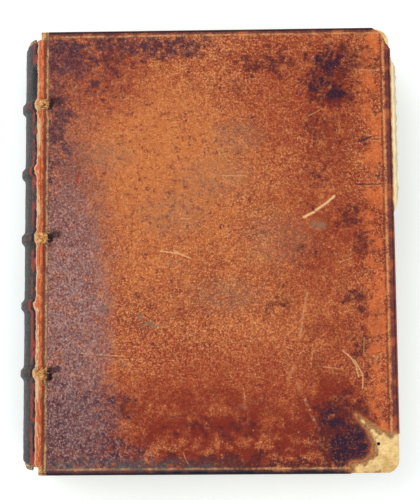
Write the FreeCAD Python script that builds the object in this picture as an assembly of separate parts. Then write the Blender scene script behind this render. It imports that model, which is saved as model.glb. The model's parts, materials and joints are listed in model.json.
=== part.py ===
import FreeCAD, Part
import os

# Antique leather book, millimetres. It lies on its back board: +Z is up out of the front board,
# +Y is the head, +X the fore-edge, and the spine bulges towards -X. Y = 0 is half the height.

# Boards
board_height = 278.0
board_width = 221.5
board_thickness = 3.5
worn_corner_radius = 9.0
sound_corner_radius = 2.5

# Leather
leather = 1.0
pared_leather = 0.6
turn_in_width = 16.0

# Leaves
leaves_thickness = 36.8
paper = 0.25
head_square = 5.0
fore_square = 4.5
fore_edge_hollow = 5.0

# Spine
spine_rise = 12.0
joint_gap = 0.3
spine_end_loss = 5.0

# Raised bands and the cords in them
band_count = 5
band_pitch = 42.6
head_panel = 47.0
cord_width = 5.5
cord_height = 2.2
cord_recess = 1.2

# Cord slips laced into the boards
slip_length = 15.0
slip_hole_diameter = 3.6

# Endbands
endband_width = 3.0
endband_height = 2.6
endband_margin = 7.0

# Endpapers
pastedown_margin = 3.5

# Worn front joint: which bands lie bare there, and the hole in the leather at each
bare_bands = (1, 3, 5)
bare_hole_length = 6.0
bare_hole_width = 7.5

# Front board's fore-edge, where the leather is gone and the pasteboard has fanned out
fray_top = 119.0
fray_bottom = 25.0
fray_reach = 1.6
fray_wear = 2.0

# Leather lost at the front board's tail corner: points (in from the fore-edge, up from the tail)
lost_corner_lower = ((30.0, -2.0), (31.0, 7.0), (22.5, 8.0), (16.5, 12.5), (17.0, 19.0), (20.5, 27.0))
lost_corner_tip = (27.5, 36.5)
lost_corner_upper = ((18.5, 31.5), (11.5, 27.0), (7.0, 25.5), (-4.0, 23.5))
lost_corner_outside = (-4.0, -2.0)

# Leather lost at the front board's head corner, and the slit in its head edge
head_corner_loss = 10.0
slit_from_fore_edge = 128.0
slit_length = 6.0
slit_width = 1.0

# Sizes that follow from those above
cover_height = board_height + 2 * leather
cover_width = board_width + leather
cover_inside = leather + board_thickness
leaf_stack = leaves_thickness + 2 * paper
block_bottom = cover_inside + pared_leather + paper
total_thickness = 2 * block_bottom + leaf_stack
middle_z = total_thickness / 2
band_reach = spine_rise + cord_height + leather
total_width = band_reach + joint_gap + cover_width + fray_reach
shoulder_x = band_reach - total_width / 2
joint_x = shoulder_x + joint_gap
fore_x = joint_x + cover_width
board_fore_x = fore_x - leather
leaf_fore_x = fore_x - fore_square
block_height = cover_height - 2 * head_square
leaves_bottom = block_bottom + paper
leaves_top = leaves_bottom + leaves_thickness
head_y = cover_height / 2
tail_y = -head_y


def band_y(number):
    """Height of a raised band's middle. Band 1 is next to the head."""
    return head_y - head_panel - (number - 1) * band_pitch


def box(x0, x1, y0, y1, z0, z1):
    """Box between the given corners."""
    corner = FreeCAD.Vector(x0, y0, z0)
    return Part.makeBox(x1 - x0, y1 - y0, z1 - z0, corner)


def prism(points, z0, z1):
    """Straight-sided block over an outline in the plane of a board."""
    corners = [FreeCAD.Vector(x, y, z0) for x, y in points]
    face = Part.Face(Part.makePolygon(corners + corners[:1]))
    return face.extrude(FreeCAD.Vector(0, 0, z1 - z0))


def one_solid(shape):
    """The largest solid of a cut shape, with its split faces joined again."""
    return max(shape.Solids, key=lambda solid: solid.Volume).removeSplitter()


def arc_radius(half_chord, rise):
    """Radius of the arc with this half chord and rise."""
    return (half_chord ** 2 + rise ** 2) / (2 * rise)


def spine_segment(half_chord, rise, length):
    """What a spine arc encloses, left of the shoulders, over a length centred on Y = 0."""
    low = FreeCAD.Vector(shoulder_x, -length / 2, middle_z - half_chord)
    mid = FreeCAD.Vector(shoulder_x - rise, -length / 2, middle_z)
    high = FreeCAD.Vector(shoulder_x, -length / 2, middle_z + half_chord)
    edges = [Part.Arc(low, mid, high).toShape(), Part.LineSegment(high, low).toShape()]
    return Part.Face(Part.Wire(edges)).extrude(FreeCAD.Vector(0, length, 0))


def spine_hoop(half_chord, rise, depth, width, y):
    """Hoop with a rounded back that follows a spine arc from shoulder to shoulder."""
    radius = arc_radius(half_chord, rise)
    centre_x = shoulder_x - rise + radius
    inner = FreeCAD.Vector(centre_x - radius + depth, y - width / 2, middle_z)
    outer = FreeCAD.Vector(centre_x - radius, y, middle_z)
    inner_far = FreeCAD.Vector(centre_x - radius + depth, y + width / 2, middle_z)
    edges = [Part.Arc(inner, outer, inner_far).toShape(), Part.LineSegment(inner_far, inner).toShape()]
    centre = FreeCAD.Vector(centre_x, y, middle_z)
    hoop = Part.Face(Part.Wire(edges)).revolve(centre, FreeCAD.Vector(0, 1, 0), 360)
    left_side = box(shoulder_x - 2 * radius, shoulder_x, y - width, y + width, 0, total_thickness)
    return hoop.common(left_side)


def spine_end_cutters(height):
    """What wear has taken off the two ends of the spine, seen from above."""
    cutters = []
    for end in (1, -1):
        x0 = shoulder_x - spine_rise - leather
        y0 = end * height / 2
        lost = [
            (x0, y0 - end * spine_end_loss),
            (x0 + spine_end_loss, y0),
            (x0 + spine_end_loss, y0 + end * leather),
            (x0 - leather, y0 + end * leather),
            (x0 - leather, y0 - end * spine_end_loss),
        ]
        cutters.append(prism(lost, -leather, total_thickness + leather))
    return cutters


def leaves():
    """The sewn leaves as one block: flat sides, hollow fore-edge, round spine with its shoulders."""
    length = block_height
    y0 = -length / 2
    bottom_left = FreeCAD.Vector(shoulder_x, y0, leaves_bottom)
    bottom_right = FreeCAD.Vector(leaf_fore_x, y0, leaves_bottom)
    hollow = FreeCAD.Vector(leaf_fore_x - fore_edge_hollow, y0, middle_z)
    top_right = FreeCAD.Vector(leaf_fore_x, y0, leaves_top)
    top_left = FreeCAD.Vector(shoulder_x, y0, leaves_top)
    edges = [
        Part.LineSegment(bottom_left, bottom_right).toShape(),
        Part.Arc(bottom_right, hollow, top_right).toShape(),
        Part.LineSegment(top_right, top_left).toShape(),
        Part.LineSegment(top_left, bottom_left).toShape(),
    ]
    body = Part.Face(Part.Wire(edges)).extrude(FreeCAD.Vector(0, length, 0))
    return body.fuse(spine_segment(middle_z - leather, spine_rise, length)).removeSplitter()


def sewing_cord(number):
    """Cord that the leaves are sewn on, over the spine from shoulder to shoulder."""
    outer_half = middle_z - leather
    hoop = spine_hoop(outer_half, spine_rise + cord_height, cord_height, cord_width, band_y(number))
    return one_solid(hoop)


def spine_leather(cords):
    """Leather on the spine, drawn down over the cords into raised bands."""
    half = middle_z
    skin = spine_segment(half, spine_rise + leather, block_height)
    for number in range(1, band_count + 1):
        width = cord_width + 2 * leather
        depth = cord_height + leather
        band = spine_hoop(half, spine_rise + cord_height + leather, depth, width, band_y(number))
        skin = skin.fuse(band)
    skin = skin.cut(spine_segment(middle_z - leather, spine_rise, block_height + 2 * leather))
    for cord in cords:
        skin = skin.cut(cord)
    for cutter in spine_end_cutters(block_height):
        skin = skin.cut(cutter)
    return one_solid(skin)


def endband(end):
    """Sewn band on the end of the leaves, close inside the spine. end is 1 at the head, -1 at the tail."""
    half = middle_z - endband_margin
    rise = spine_rise * (half / (middle_z - leather)) ** 2
    radius = arc_radius(half, rise)
    centre_x = shoulder_x - spine_rise + leather + radius
    y0 = end * block_height / 2
    near = FreeCAD.Vector(centre_x - radius, y0, middle_z)
    crown = FreeCAD.Vector(centre_x - radius + endband_width / 2, y0 + end * endband_height, middle_z)
    far = FreeCAD.Vector(centre_x - radius + endband_width, y0, middle_z)
    edges = [Part.Arc(near, crown, far).toShape(), Part.LineSegment(far, near).toShape()]
    centre = FreeCAD.Vector(centre_x, y0, middle_z)
    ring = Part.Face(Part.Wire(edges)).revolve(centre, FreeCAD.Vector(0, 1, 0), 360)
    reach = endband_height + leather
    keep = box(centre_x - 2 * radius, centre_x - radius + rise, y0 - reach, y0 + reach,
               middle_z - half, middle_z + half)
    return one_solid(ring.common(keep))


def board_blank(grow, z0, z1, head_radius, tail_radius):
    """A board's outline, grown by the leather round three sides, with its two fore-edge corners rounded."""
    blank = box(joint_x, board_fore_x + grow, tail_y + leather - grow, head_y - leather + grow, z0, z1)
    corners = {1: head_radius + grow, -1: tail_radius + grow}
    for end, radius in corners.items():
        edges = [edge for edge in blank.Edges
                 if abs(edge.BoundBox.ZLength - (z1 - z0)) < 1e-6
                 and edge.BoundBox.XMin > middle_of_board() and edge.BoundBox.YMin * end > 0]
        blank = blank.makeFillet(radius, edges)
    return blank


def middle_of_board():
    """Half way across a board."""
    return (joint_x + board_fore_x) / 2


def cord_slip(number):
    """End of a cord: along a channel in the board's outer face, then down through a hole."""
    y = band_y(number)
    top = total_thickness - leather
    flat = box(joint_x, joint_x + slip_length, y - cord_width / 2, y + cord_width / 2, top - cord_recess, top)
    hole_x = joint_x + slip_length - cord_width / 2
    peg = Part.makeCylinder(slip_hole_diameter / 2, board_thickness, FreeCAD.Vector(hole_x, y, top - board_thickness))
    return flat.fuse(peg).removeSplitter()


def board(slips, head_radius, tail_radius):
    """Pasteboard of the front cover, with the channels and holes that its cord slips fill."""
    top = total_thickness - leather
    shape = board_blank(0, top - board_thickness, top, head_radius, tail_radius)
    for slip in slips:
        shape = shape.cut(slip)
    return shape


def frayed_strip(grow):
    """Fanned-out layers of pasteboard along the fore-edge, as a flat crescent."""
    top = total_thickness - leather
    z0 = top - board_thickness
    start = FreeCAD.Vector(board_fore_x, fray_bottom, z0)
    middle = FreeCAD.Vector(fore_x + fray_reach + grow, (fray_top + fray_bottom) / 2, z0)
    finish = FreeCAD.Vector(board_fore_x, fray_top, z0)
    edges = [Part.Arc(start, middle, finish).toShape(), Part.LineSegment(finish, start).toShape()]
    return Part.Face(Part.Wire(edges)).extrude(FreeCAD.Vector(0, 0, board_thickness))


def cover_leather(head_radius, tail_radius):
    """Leather over a front cover's outer face, round three edges and turned in on its inner face."""
    top = total_thickness
    inner_face = top - leather - board_thickness
    shell = board_blank(leather, inner_face - pared_leather, top, head_radius, tail_radius)
    shell = shell.cut(board_blank(0, inner_face, top - leather, head_radius, tail_radius))
    window = box(joint_x, fore_x - turn_in_width, tail_y + turn_in_width, head_y - turn_in_width,
                 inner_face - pared_leather, inner_face)
    return shell.cut(window)


def front_leather_losses():
    """Everything that wear has taken out of the front cover's leather."""
    z0 = total_thickness - cover_inside - pared_leather
    z1 = total_thickness
    outline = [lost_corner_outside, *lost_corner_lower, lost_corner_tip, *lost_corner_upper]
    losses = [prism([(fore_x - x, tail_y + y) for x, y in outline], z0, z1)]
    corner = head_corner_loss
    losses.append(prism([(fore_x - corner, head_y + leather), (fore_x - corner / 2, head_y - corner / 2),
                         (fore_x + leather, head_y - corner), (fore_x + leather, head_y + leather)], z0, z1))
    losses.append(box(fore_x - fray_wear, fore_x + leather, fray_bottom, fray_top, z0, z1))
    slit_x = fore_x - slit_from_fore_edge
    losses.append(box(slit_x - slit_width / 2, slit_x + slit_width / 2, head_y - slit_length, head_y + leather,
                      z1 - leather, z1))
    for number in bare_bands:
        y = band_y(number)
        hole = Part.makeCylinder(bare_hole_width / 2, leather, FreeCAD.Vector(joint_x, y, z1 - leather))
        stretch = box(joint_x, joint_x + bare_hole_length - bare_hole_width / 2,
                      y - bare_hole_width / 2, y + bare_hole_width / 2, z1 - leather, z1)
        hole.translate(FreeCAD.Vector(bare_hole_length - bare_hole_width / 2, 0, 0))
        losses.append(hole.fuse(stretch))
    return losses


def pastedown(leather_solid):
    """Endpaper pasted on a front cover's inner face: over the turn-ins, and down onto the board between."""
    inner_face = total_thickness - cover_inside
    low = inner_face - pared_leather - paper
    edge = pastedown_margin
    sheet = box(joint_x, fore_x - edge, tail_y + edge, head_y - edge, low, inner_face)
    inset = turn_in_width + paper
    hollow = box(joint_x, fore_x - inset, tail_y + inset, head_y - inset, low, inner_face - paper)
    return one_solid(sheet.cut(leather_solid).cut(hollow))


def free_endpaper():
    """Loose leaf that faces the front cover, as large as the leaves."""
    return box(shoulder_x, leaf_fore_x, -block_height / 2, block_height / 2, leaves_top, leaves_top + paper)


def turned_over(shape):
    """The same piece on the other side of the book."""
    return shape.mirror(FreeCAD.Vector(0, 0, middle_z), FreeCAD.Vector(0, 0, 1))


def build():
    """Every piece of the book by name."""
    numbers = range(1, band_count + 1)
    pieces = {}
    cords = [sewing_cord(number) for number in numbers]
    slips = [cord_slip(number) for number in numbers]
    for number, cord, slip in zip(numbers, cords, slips):
        pieces[f"sewing_cord_{number}"] = cord
        pieces[f"front_cord_slip_{number}"] = slip
        pieces[f"back_cord_slip_{number}"] = turned_over(slip)

    block = leaves()
    for cutter in [*spine_end_cutters(block_height), *cords]:
        block = block.cut(cutter)
    pieces["text_block"] = one_solid(block)
    pieces["spine_leather"] = spine_leather(cords)
    pieces["head_endband"] = endband(1)
    pieces["tail_endband"] = endband(-1)
    pieces["front_free_endpaper"] = free_endpaper()
    pieces["back_free_endpaper"] = turned_over(free_endpaper())

    front_board = board(slips, worn_corner_radius, worn_corner_radius).fuse(frayed_strip(0))
    pieces["front_board"] = one_solid(front_board)
    front_leather = cover_leather(worn_corner_radius, worn_corner_radius)
    pieces["front_pastedown"] = pastedown(front_leather)
    for loss in front_leather_losses():
        front_leather = front_leather.cut(loss)
    pieces["front_board_leather"] = one_solid(front_leather)

    back_leather = cover_leather(sound_corner_radius, sound_corner_radius)
    pieces["back_board"] = turned_over(board(slips, sound_corner_radius, sound_corner_radius))
    pieces["back_pastedown"] = turned_over(pastedown(back_leather))
    pieces["back_board_leather"] = turned_over(back_leather)
    return pieces


os.makedirs("parts", exist_ok=True)
for name, solid in build().items():
    solid.exportStep(f"parts/{name}.step")
    print(name, len(solid.Solids), solid.isValid(), round(solid.Volume, 1))
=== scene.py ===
import json
import math
from functools import reduce
import bpy
import numpy as np
from mathutils import Euler, Matrix, Vector


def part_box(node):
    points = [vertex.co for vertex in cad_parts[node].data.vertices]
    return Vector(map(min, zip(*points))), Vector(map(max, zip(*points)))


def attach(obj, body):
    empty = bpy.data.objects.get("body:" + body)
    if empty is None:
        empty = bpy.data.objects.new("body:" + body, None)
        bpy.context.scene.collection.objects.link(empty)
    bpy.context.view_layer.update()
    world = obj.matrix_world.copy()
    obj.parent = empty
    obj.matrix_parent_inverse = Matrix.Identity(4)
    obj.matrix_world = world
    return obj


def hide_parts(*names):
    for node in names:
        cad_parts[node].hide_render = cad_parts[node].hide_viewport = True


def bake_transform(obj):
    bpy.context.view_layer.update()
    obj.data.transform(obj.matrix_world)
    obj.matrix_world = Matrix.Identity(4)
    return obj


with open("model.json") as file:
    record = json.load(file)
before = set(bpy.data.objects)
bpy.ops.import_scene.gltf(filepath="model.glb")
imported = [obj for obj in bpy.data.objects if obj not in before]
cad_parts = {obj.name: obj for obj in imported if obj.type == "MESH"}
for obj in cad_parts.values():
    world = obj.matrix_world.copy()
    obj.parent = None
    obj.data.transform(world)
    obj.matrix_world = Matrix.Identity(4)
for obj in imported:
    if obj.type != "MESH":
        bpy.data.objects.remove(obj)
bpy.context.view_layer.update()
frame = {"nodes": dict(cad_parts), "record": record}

# Antique leather book. Lengths in this script are millimetres until a mesh is made.
MM = 0.001


def span(node):
    """A frame node's box in millimetres: lowest corner, highest corner."""
    low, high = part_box(node)
    return np.array(low) / MM, np.array(high) / MM


# Sizes read from the frame
(JOINT_X, TAIL_Y, COVER_BOTTOM), (FORE_X, HEAD_Y, TOP_Z) = span("front_board_leather")
LEATHER = span("back_board")[0][2]
BOARD_TOP = TOP_Z - LEATHER
MIDDLE_Z = TOP_Z / 2
SHOULDER_X = span("spine_leather")[1][0]
LEAF_FORE_X, BLOCK_HALF = span("text_block")[1][:2]
LEAVES_LOW = span("back_free_endpaper")[1][2]
LEAVES_HIGH = span("front_free_endpaper")[0][2]
BANDS = [float(np.mean([corner[1] for corner in span(f"sewing_cord_{n}")])) for n in range(1, 6)]
BARE_BANDS = (1, 3, 5)

# Where the leather is lost, as in the solids: in from the fore-edge and up from the tail
LOST_CORNER = [(FORE_X - a, TAIL_Y + b) for a, b in (
    (-4.0, -2.0), (30.0, -2.0), (31.0, 7.0), (22.5, 8.0), (16.5, 12.5), (17.0, 19.0), (20.5, 27.0),
    (27.5, 36.5), (18.5, 31.5), (11.5, 27.0), (7.0, 25.5), (-4.0, 23.5),
)]
FRAY_TOP = 119.0
FRAY_BOTTOM = 25.0
HEAD_CORNER_LOSS = 10.0
WORN_RADIUS = 9.0
SOUND_RADIUS = 2.5
TURN_IN = 16.0
SPINE_RISE = 12.0
BAND_HEIGHT = 2.2
SLIT_X = FORE_X - 128.0
LOW_ROLL = 0.7
LEAF_HOLLOW = 5.0
# The hole round a bare cord, from the joint and from the cord's middle
CORD_HOLE = ((-1, -3.6), (3.4, -3.8), (5.4, -1.8), (5.0, 1.2), (2.8, 3.2), (-1, 3.4))

# The camera, fitted to the cover's corners: place in metres, turns in degrees, lens and sensor
CAMERA_PLACE = (0.01665, -0.0694, 0.7315)
CAMERA_TURNS = (5.68, 1.17, -0.57)
FOCAL_LENGTH = 94.15
SENSOR_WIDTH = 36


# Mesh helpers

def noise(points, size, seed):
    """Smooth noise, mostly from -1 to 1, at each point, with features about as wide as size."""
    rng = np.random.default_rng(seed)
    total = np.zeros(len(points))
    for _ in range(7):
        direction = rng.normal(size=points.shape[1])
        direction *= rng.uniform(0.6, 1.5) / np.linalg.norm(direction)
        total += np.sin(points @ direction * 2 * math.pi / size + rng.uniform(0, 2 * math.pi))
    return total / 4.4


def make_piece(name, verts, faces, body, material, smooth=True):
    """A mesh piece from millimetre vertices, riding on a body."""
    mesh = bpy.data.meshes.new(name)
    mesh.from_pydata([tuple(v) for v in np.asarray(verts) * MM], [], [tuple(f) for f in faces])
    mesh.validate()
    mesh.materials.append(material)
    if smooth:
        mesh.shade_smooth()
    piece = bpy.data.objects.new(name, mesh)
    bpy.context.scene.collection.objects.link(piece)
    if body:
        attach(piece, body)
    return piece


def grid_faces(rows, columns, flip=False):
    """Quads between neighbouring points of a grid stored row by row."""
    quads = []
    for j in range(rows - 1):
        for i in range(columns - 1):
            a = j * columns + i
            quad = (a, a + 1, a + columns + 1, a + columns)
            quads.append(quad[::-1] if flip else quad)
    return quads


def ring_faces(rings, count):
    """Quads between closed rings of points stored ring by ring."""
    faces = []
    for k in range(rings - 1):
        for i in range(count):
            j = (i + 1) % count
            faces.append((k * count + i, k * count + j, (k + 1) * count + j, (k + 1) * count + i))
    return faces


def polygon_distance(points, outline):
    """Distance of each point to a closed outline, negative inside, and the nearest point on it."""
    outline = np.asarray(outline, float)
    best = np.full(len(points), 1e9)
    nearest = np.array(points, float)
    inside = np.zeros(len(points), bool)
    for a, b in zip(outline, np.roll(outline, -1, axis=0)):
        edge = b - a
        t = np.clip(((points - a) @ edge) / max(edge @ edge, 1e-12), 0, 1)
        foot = a + t[:, None] * edge
        distance = np.linalg.norm(points - foot, axis=1)
        closer = distance < best
        best[closer] = distance[closer]
        nearest[closer] = foot[closer]
        crosses = (a[1] > points[:, 1]) != (b[1] > points[:, 1])
        rise = b[1] - a[1] if abs(b[1] - a[1]) > 1e-12 else 1e-12
        inside ^= crosses & (points[:, 0] < (b[0] - a[0]) * (points[:, 1] - a[1]) / rise + a[0])
    return np.where(inside, -best, best), nearest


def torn(outline, size, depth, seed, step=0.8):
    """An outline with its edges made ragged."""
    outline = np.asarray(outline, float)
    points = []
    for a, b in zip(outline, np.roll(outline, -1, axis=0)):
        count = max(1, int(np.linalg.norm(b - a) / step))
        for k in range(count):
            points.append(a + (b - a) * k / count)
    points = np.array(points)
    shift = np.stack([noise(points, size, seed), noise(points, size, seed + 1)], axis=1)
    fine = np.stack([noise(points, size / 3, seed + 2), noise(points, size / 3, seed + 3)], axis=1)
    return points + shift * depth + fine * depth * 0.5


def cloud_noise(points, size, seed):
    """Noise with four finer and finer layers."""
    return sum(noise(points, size / 2 ** k, seed + 10 * k) / 1.6 ** k for k in range(4))


def zone_mask(points, zone):
    """Soft ellipses with ragged borders: the strongest at each point. A row is place, radii, strength."""
    soft, wander, size, rows = zone
    shift = np.stack([cloud_noise(points, size, 301), cloud_noise(points, size, 302)], axis=1)
    moved = points + shift * wander
    mask = np.zeros(len(points))
    for x, y, wide, high, strength in rows:
        away = np.linalg.norm((moved - (x, y)) / (wide, high), axis=1)
        fade = np.clip((1 + soft - away) / (2 * soft), 0, 1)
        mask = np.maximum(mask, strength * fade * fade * (3 - 2 * fade))
    return mask


def store(piece, name, values):
    """Keeps a number for each point of a piece, for its material to read."""
    piece.data.attributes.new(name, "FLOAT", "POINT").data.foreach_set("value", values)


# Helpers for materials

def linear(colour):
    """A colour as a screen shows it, 0 to 255, turned to what a node takes. An output stays as it is."""
    if not isinstance(colour, tuple):
        return colour
    shares = [value / 255 for value in colour]
    return *(s / 12.92 if s < 0.04045 else ((s + 0.055) / 1.055) ** 2.4 for s in shares), 1.0


class Tree:
    """Short calls that build nodes in a node tree."""

    def __init__(self, tree):
        self.nodes = tree.nodes
        self.links = tree.links

    def put(self, value, socket):
        """Sets a socket to a constant or links an output to it."""
        if isinstance(value, bpy.types.NodeSocket):
            self.links.new(value, socket)
        else:
            socket.default_value = value

    def node(self, kind, inputs, **settings):
        """A node with its settings and inputs."""
        node = self.nodes.new("ShaderNode" + kind)
        for name, value in settings.items():
            setattr(node, name, value)
        for name, value in inputs.items():
            self.put(value, node.inputs[name])
        return node

    def vector(self, operation, a, b, output="Vector"):
        second = "Scale" if operation == "SCALE" else 1
        return self.node("VectorMath", {0: a, second: b}, operation=operation).outputs[output]

    def maths(self, operation, a, b=0.0, clamp=False):
        return self.node("Math", {0: a, 1: b}, operation=operation, use_clamp=clamp).outputs[0]

    def ramp(self, value, low, high, out_low=0.0, out_high=1.0):
        """Smooth step of a value from low to high."""
        inputs = {"Value": value, "From Min": low, "From Max": high, "To Min": out_low, "To Max": out_high}
        return self.node("MapRange", inputs, interpolation_type="SMOOTHSTEP").outputs["Result"]


def stroke_group():
    """Node group: 1 on the line from A to B, 0 past the half width."""
    group = bpy.data.node_groups.new("stroke", "ShaderNodeTree")
    for name, kind in (("Place", "Vector"), ("A", "Vector"), ("B", "Vector"), ("Half width", "Float")):
        group.interface.new_socket(name, in_out="INPUT", socket_type="NodeSocket" + kind)
    group.interface.new_socket("Mask", in_out="OUTPUT", socket_type="NodeSocketFloat")
    tree = Tree(group)
    place, start, end, half_width = tree.nodes.new("NodeGroupInput").outputs[:4]
    along = tree.vector("SUBTRACT", place, start)
    whole = tree.vector("SUBTRACT", end, start)
    reached = tree.vector("DOT_PRODUCT", along, whole, "Value")
    share = tree.maths("DIVIDE", reached, tree.vector("DOT_PRODUCT", whole, whole, "Value"), clamp=True)
    foot = tree.vector("SCALE", whole, share)
    away = tree.vector("LENGTH", tree.vector("SUBTRACT", along, foot), (0, 0, 0), "Value")
    tree.put(tree.ramp(away, half_width, 0.0), tree.nodes.new("NodeGroupOutput").inputs["Mask"])
    return group


STROKE = stroke_group()


class Shader(Tree):
    """A material, laid on colour by colour. Places and sizes are in millimetres."""

    def __init__(self, name, roughness, specular):
        self.material = bpy.data.materials.new(name)
        self.material.use_nodes = True
        super().__init__(self.material.node_tree)
        self.surface = self.nodes["Principled BSDF"]
        self.surface.inputs["Roughness"].default_value = roughness
        self.surface.inputs["Specular IOR Level"].default_value = specular
        self.place = self.vector("SCALE", self.node("TexCoord", {}).outputs["Object"], 1 / MM)
        self.x, self.y, self.z = self.node("SeparateXYZ", {0: self.place}).outputs
        self.colour = None

    def plus(self, a, b):
        return self.maths("ADD", a, b)

    def minus(self, a, b):
        return self.maths("SUBTRACT", a, b)

    def least(self, a, b):
        return self.maths("MINIMUM", a, b)

    def size(self, value):
        return self.maths("ABSOLUTE", value)

    def off(self, value, centre):
        """How far a value is from a centre."""
        return self.size(self.minus(value, centre))

    def wave(self, value, length):
        """A sine wave along a value."""
        return self.maths("SINE", self.both(value, 2 * math.pi / length))

    def mask(self, value):
        """A number or an output as it is, or the ramp of (value, low, high)."""
        return self.ramp(*value) if isinstance(value, tuple) else value

    def both(self, *masks):
        """All masks at once."""
        return reduce(lambda a, b: self.maths("MULTIPLY", a, b), map(self.mask, masks))

    def any(self, *masks):
        """Whichever mask is strongest."""
        return reduce(lambda a, b: self.maths("MAXIMUM", a, b), map(self.mask, masks))

    def noise(self, size, detail=3.0, roughness=0.55, stretch=(1, 1, 1), shift=0.0):
        """Cloudy noise, 0 to 1, with features about as wide as size, moved along by a shift."""
        moved = self.vector("ADD", self.place, (shift, shift * 1.7, shift * 0.6))
        scaled = self.vector("DIVIDE", moved, tuple(size * s for s in stretch))
        inputs = {"Vector": scaled, "Scale": 1.0, "Detail": detail, "Roughness": roughness}
        return self.node("TexNoise", inputs).outputs["Fac"]

    def cells(self, size, feature="F1", stretch=(1, 1, 1)):
        """Distance from the middle of a cell, or from its edge."""
        scaled = self.vector("DIVIDE", self.place, tuple(size * s for s in stretch))
        return self.node("TexVoronoi", {"Vector": scaled, "Scale": 1.0}, feature=feature).outputs["Distance"]

    def mix(self, amount, under, over):
        """One colour over another, by an amount from 0 to 1."""
        inputs = {"Factor": self.mask(amount), "A": linear(under), "B": linear(over)}
        return self.node("Mix", inputs, data_type="RGBA").outputs["Result"]

    def lay(self, colour, *masks):
        """Lays a colour on, where all masks are."""
        self.colour = self.mix(self.both(*masks), self.colour, colour)

    def warped(self, amount, size, shift):
        """The place, pushed about by noise, for ragged borders."""
        moved = self.vector("SCALE", self.vector("ADD", self.place, (shift, shift, shift)), 1 / size)
        cloud = self.node("TexNoise", {"Vector": moved, "Scale": 1.0, "Detail": 4.0})
        channels = self.node("SeparateColor", {0: cloud.outputs["Color"]}).outputs
        joined = self.node("CombineXYZ", dict(enumerate(channels))).outputs[0]
        push = self.vector("SUBTRACT", joined, (0.5, 0.5, 0.5))
        return self.vector("ADD", self.place, self.vector("SCALE", push, amount * 2))

    def flat(self, place):
        """The place with its height left out."""
        return self.vector("MULTIPLY", place, (1, 1, 0))

    def zone(self, name):
        """A mask stored on the mesh."""
        return self.node("Attribute", {}, attribute_name=name).outputs["Fac"]

    def cover(self, name, pattern):
        """Patches that a noise breaks up where a stored mask is weak, and that join where it is strong."""
        return self.ramp(self.plus(pattern, self.both(self.zone(name), 0.42)), 0.60, 0.86)

    def strokes(self, place, lines, half_width):
        """Lines, each through a few points."""
        result = 0.0
        for points in lines:
            for a, b in zip(points, points[1:]):
                inputs = {"Place": place, "A": (*a, 0), "B": (*b, 0), "Half width": half_width}
                result = self.any(self.node("Group", inputs, node_tree=STROKE).outputs["Mask"], result)
        return result

    def bump(self, height, distance):
        """Adds relief of that many millimetres."""
        node = self.node("Bump", {"Strength": 1.0, "Distance": distance * MM, "Height": height})
        old = self.surface.inputs["Normal"]
        if old.links:
            self.links.new(old.links[0].from_socket, node.inputs["Normal"])
        self.links.new(node.outputs["Normal"], old)

    def finish(self, roughness=None):
        """Gives the surface its colour and, where there is one, its map of roughness."""
        self.put(self.colour, self.surface.inputs["Base Color"])
        if roughness is not None:
            self.put(roughness, self.surface.inputs["Roughness"])
        return self.material


# Leather

TAN = (206, 122, 62)
BROWN = (180, 88, 44)
RED_BROWN = (150, 56, 28)
WINE = (120, 34, 20)
DARK = (84, 28, 30)
PURPLE = (72, 34, 46)
NAVY = (38, 18, 42)
BAND_BROWN = (120, 70, 62)
LILAC = (180, 146, 140)
ORANGE = (214, 108, 54)
CREAM = (236, 186, 128)
RAW = (232, 194, 156)
GREY = (128, 108, 90)
TEAL = (58, 66, 70)

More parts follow.
